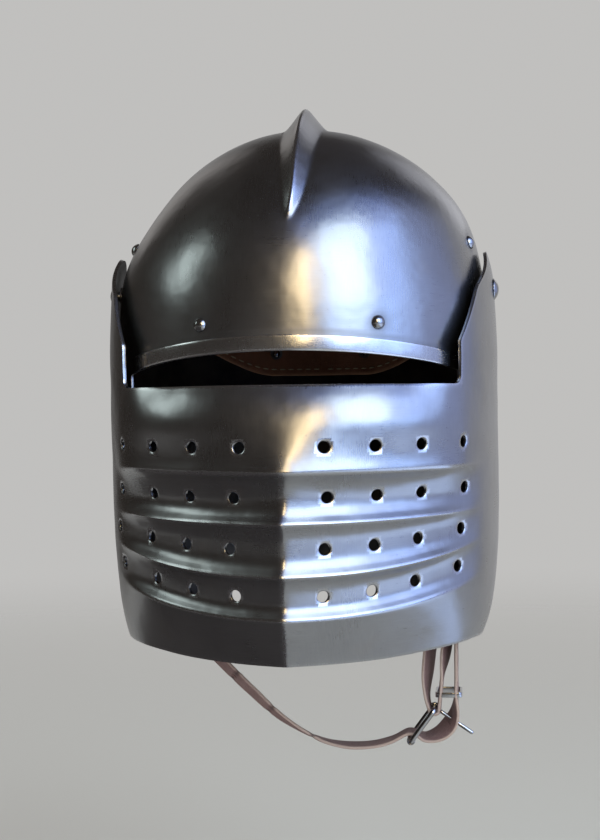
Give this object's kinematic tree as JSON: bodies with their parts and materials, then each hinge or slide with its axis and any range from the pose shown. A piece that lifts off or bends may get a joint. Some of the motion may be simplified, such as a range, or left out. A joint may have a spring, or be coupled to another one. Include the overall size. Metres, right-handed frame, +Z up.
{
  "type": "visored sallet helmet",
  "caption": "Steel sallet with a keel comb, a fluted pivoting face visor with breath holes, a riveted leather liner and a buckled chin strap.",
  "frame": {"origin": "the head seat, where the top of the wearer's head meets the liner", "axes": "+Z up, the face looks along -Y, the wearer's left is +X"},
  "size_m": [0.234, 0.2545, 0.3751],
  "materials": {
    "polished_steel": "satin polish with fine scratches",
    "dark_iron": "plain, dull",
    "buckle_metal": "bright, worn",
    "liner_leather": "vegetable tanned, matt",
    "strap_leather": "dusty, with pale raw edges",
    "lace": "matt"
  },
  "bodies": {
    "shell": {"skull": "polished_steel", "brow_band": "polished_steel", "pivot_rivet_left": "polished_steel", "pivot_rivet_right": "polished_steel", "pivot_spacer_left": "dark_iron", "pivot_spacer_right": "dark_iron", "pivot_burr_left": "dark_iron", "pivot_burr_right": "dark_iron", "liner_rivets": "polished_steel", "liner_burrs": "dark_iron", "liner_band": "liner_leather", "crown_lace": "lace", "chin_strap_long": "strap_leather", "chin_strap_short": "strap_leather", "chin_rivets": "polished_steel", "chin_burrs": "dark_iron", "buckle_frame": "buckle_metal", "liner_tongue_1": "liner_leather", "liner_tongue_2": "liner_leather", "liner_tongue_3": "liner_leather", "liner_tongue_4": "liner_leather", "liner_tongue_5": "liner_leather", "liner_tongue_6": "liner_leather", "liner_tongue_7": "liner_leather", "liner_tongue_8": "liner_leather"},
    "visor": {"visor": "polished_steel"},
    "roller": {"buckle_roller": "buckle_metal"},
    "prong": {"buckle_prong": "buckle_metal"},
    "keeper": {"strap_keeper": "buckle_metal"}
  },
  "joints": [
    {"name": "visor_hinge", "type": "hinge", "parent": "shell", "child": "visor", "pos_m": [0, 0, -0.079], "axis": [-1, 0, 0], "range_deg": [0, 55]},
    {"name": "prong_hinge", "type": "hinge", "parent": "shell", "child": "prong", "pos_m": [0.0768, -0.02835, -0.3215], "axis": [0, -1, 0], "range_deg": [0, 8]},
    {"name": "roller_spin", "type": "hinge", "parent": "shell", "child": "roller", "pos_m": [0.06342, -0.02835, -0.33947], "axis": [0, 1, 0], "continuous": true},
    {"name": "keeper_slide", "type": "slide", "parent": "shell", "child": "keeper", "axis": [0, 0, 1], "range_m": [0, 0.008]}
  ]
}
